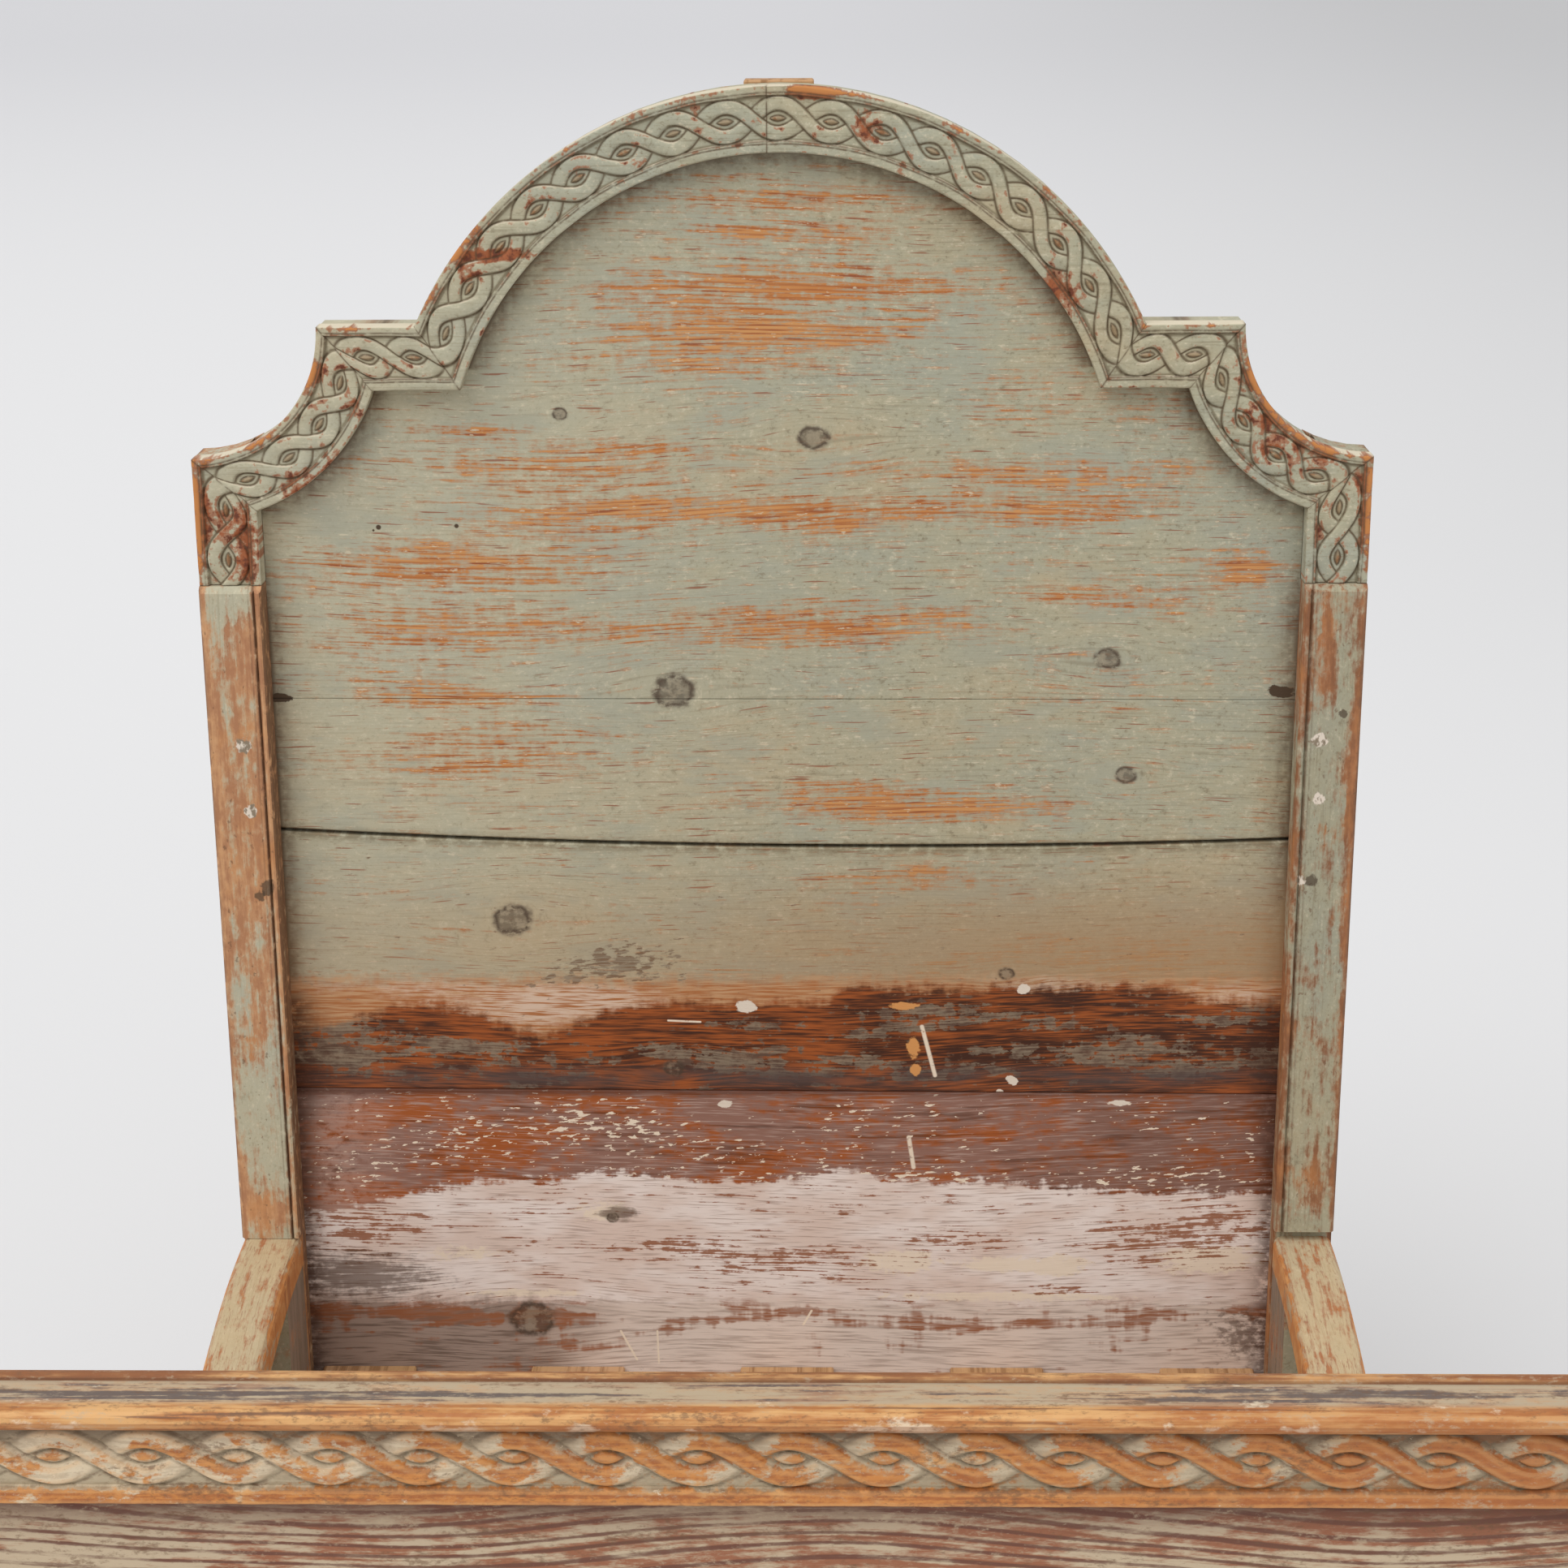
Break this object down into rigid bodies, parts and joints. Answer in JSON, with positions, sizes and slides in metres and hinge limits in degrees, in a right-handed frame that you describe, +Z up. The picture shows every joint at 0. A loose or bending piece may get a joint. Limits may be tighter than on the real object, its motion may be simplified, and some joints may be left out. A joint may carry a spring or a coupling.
{
  "type": "carved pull-out bed frame",
  "caption": "Painted pine bed frame with an arched headboard in a carved guilloche frame, low swept sides and a moulded footboard that slides out to lengthen the bed.",
  "frame": {"origin": "on the floor, under the middle of the closed bed's box", "axes": "+X across the bed to the right as seen from the foot, +Y towards the headboard, +Z up"},
  "size_m": [1.11, 1.3266, 1.588],
  "materials": {
    "carved_paint": "worn matt sage paint on carved pine",
    "panel_paint": "worn matt sage paint rubbed through to pine",
    "worn_post": "pine with remains of sage paint",
    "side_paint": "worn matt paint on pine",
    "foot_paint": "pine with remains of sage paint",
    "bare_pine": "unpainted aged pine"
  },
  "bodies": {
    "head_section": {"left_head_post": "worn_post", "right_head_post": "worn_post", "left_post_facing": "worn_post", "right_post_facing": "worn_post", "left_carved_stub": "carved_paint", "right_carved_stub": "carved_paint", "left_carved_shoulder": "carved_paint", "right_carved_shoulder": "carved_paint", "left_carved_step": "carved_paint", "right_carved_step": "carved_paint", "left_carved_arch": "carved_paint", "right_carved_arch": "carved_paint", "crest_board": "panel_paint", "middle_board": "panel_paint", "lower_board": "panel_paint", "bottom_board": "panel_paint", "head_bottom_rail": "bare_pine", "back_batten": "bare_pine", "left_arm": "side_paint", "right_arm": "side_paint", "left_side_stile": "side_paint", "right_side_stile": "side_paint", "left_side_board": "side_paint", "right_side_board": "side_paint", "left_front_leg": "side_paint", "right_front_leg": "side_paint", "left_runner": "bare_pine", "right_runner": "bare_pine", "head_ledger": "bare_pine", "head_cross_rail": "bare_pine", "head_slat_1": "bare_pine", "head_slat_2": "bare_pine", "head_slat_3": "bare_pine", "head_slat_4": "bare_pine", "head_slat_5": "bare_pine"},
    "foot_section": {"foot_cap_rail": "foot_paint", "foot_carved_frieze": "foot_paint", "left_foot_post": "foot_paint", "right_foot_post": "foot_paint", "foot_upper_board": "foot_paint", "foot_lower_board": "foot_paint", "foot_bottom_rail": "foot_paint", "left_slide_rail": "bare_pine", "right_slide_rail": "bare_pine", "foot_tie_bar": "bare_pine", "foot_ledger": "bare_pine", "foot_slat_1": "bare_pine", "foot_slat_2": "bare_pine", "foot_slat_3": "bare_pine", "foot_slat_4": "bare_pine"}
  },
  "joints": [
    {"name": "pull_out", "type": "slide", "parent": "head_section", "child": "foot_section", "axis": [0, -1, 0], "range_m": [0, 0.68]}
  ]
}
